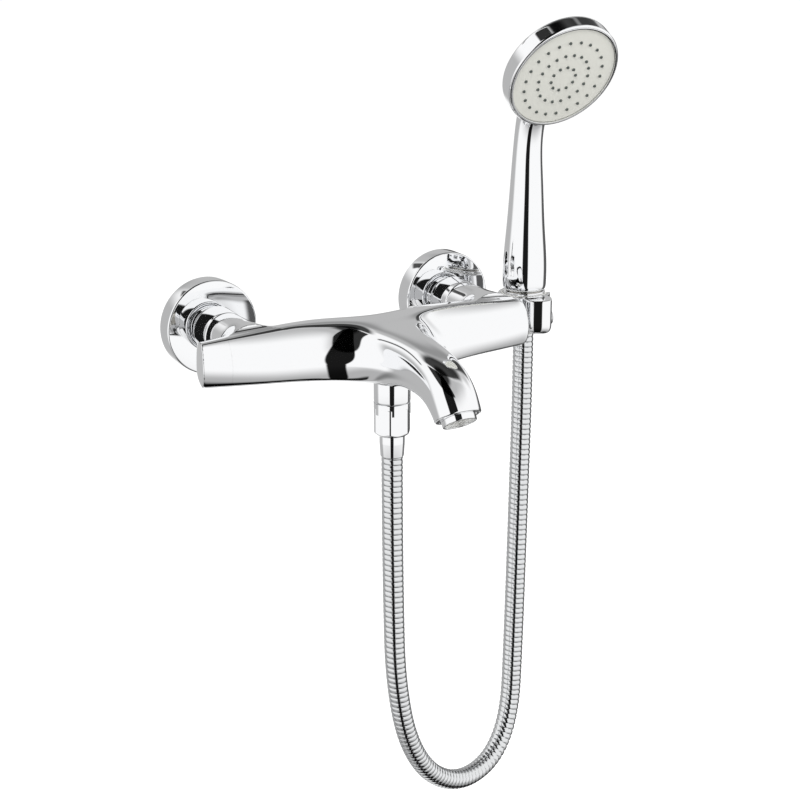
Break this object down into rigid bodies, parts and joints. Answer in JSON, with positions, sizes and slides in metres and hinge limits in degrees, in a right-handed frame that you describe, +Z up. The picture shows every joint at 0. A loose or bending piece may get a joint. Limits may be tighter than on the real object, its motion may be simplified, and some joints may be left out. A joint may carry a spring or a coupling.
{
  "type": "wall mounted bath and shower mixer with hand shower",
  "caption": "Wall-mounted chrome bath and shower mixer with a forward spout, a ribbed hose hanging in a loop and a hand shower standing in a holder at its right end.",
  "frame": {"origin": "on the wall surface, midway between the two water inlets, at the height of their centres", "axes": "+X to the right for someone facing the wall, +Y into the wall, +Z up"},
  "size_m": [0.2486, 0.1801, 0.463],
  "materials": {
    "chrome": "mirror polish",
    "hose_metal": "polished ribs",
    "brass": "machined",
    "spray_grey": "satin",
    "nozzle_rubber": "matte",
    "black_rubber": "matte",
    "white_plastic": "moulded",
    "steel": "plain"
  },
  "bodies": {
    "mixer": {"wall_union_left": "chrome", "wall_union_right": "chrome", "union_seal_left": "black_rubber", "union_seal_right": "black_rubber", "union_nut_left": "chrome", "union_nut_right": "chrome", "rosette_left": "chrome", "rosette_right": "chrome", "check_valve_left": "white_plastic", "check_valve_right": "white_plastic", "mixer_body": "chrome", "cartridge": "white_plastic", "cartridge_nut": "brass", "end_plug": "brass", "outlet_nipple": "brass", "diverter_seals": "black_rubber", "hose_washer": "black_rubber", "hose_nut": "chrome", "hose_tail_outlet": "brass", "hose_ferrule": "chrome", "cradle": "chrome", "cradle_liner": "white_plastic", "cradle_screw": "steel", "aerator_shell": "chrome", "aerator_insert": "white_plastic", "aerator_seal": "black_rubber"},
    "knob": {"control_knob": "chrome", "knob_screw": "steel", "spindle": "brass"},
    "diverter": {"diverter_ring": "chrome"},
    "hose_end": {"shower_hose": "hose_metal", "cone_nut": "chrome", "cone_washer": "black_rubber", "hose_tail_handset": "brass"},
    "hand_shower": {"handset_shell": "chrome", "inlet_bush": "brass", "flow_limiter": "white_plastic", "water_tube": "white_plastic", "face_ring": "chrome", "spray_plate": "spray_grey", "spray_nozzles": "nozzle_rubber", "jet_disc": "white_plastic", "face_seal": "black_rubber", "face_screws": "steel"}
  },
  "joints": [
    {"name": "knob_turn", "type": "hinge", "parent": "mixer", "child": "knob", "pos_m": [-0.092, -0.061, -0.0015], "axis": [1, 0, 0], "range_deg": [0, 120]},
    {"name": "diverter_turn", "type": "hinge", "parent": "mixer", "child": "diverter", "pos_m": [0, -0.082, -0.0295], "axis": [0, 0, 1], "range_deg": [0, 90]},
    {"name": "hand_shower_lift", "type": "slide", "parent": "mixer", "child": "hose_end", "axis": [0, 0, 1], "range_m": [0, 0.12], "deforming": ["shower_hose"]},
    {"name": "hand_shower_turn", "type": "hinge", "parent": "hose_end", "child": "hand_shower", "pos_m": [0.107, -0.045, 0.0085], "axis": [0, 0, 1], "range_deg": [-90, 90]}
  ]
}
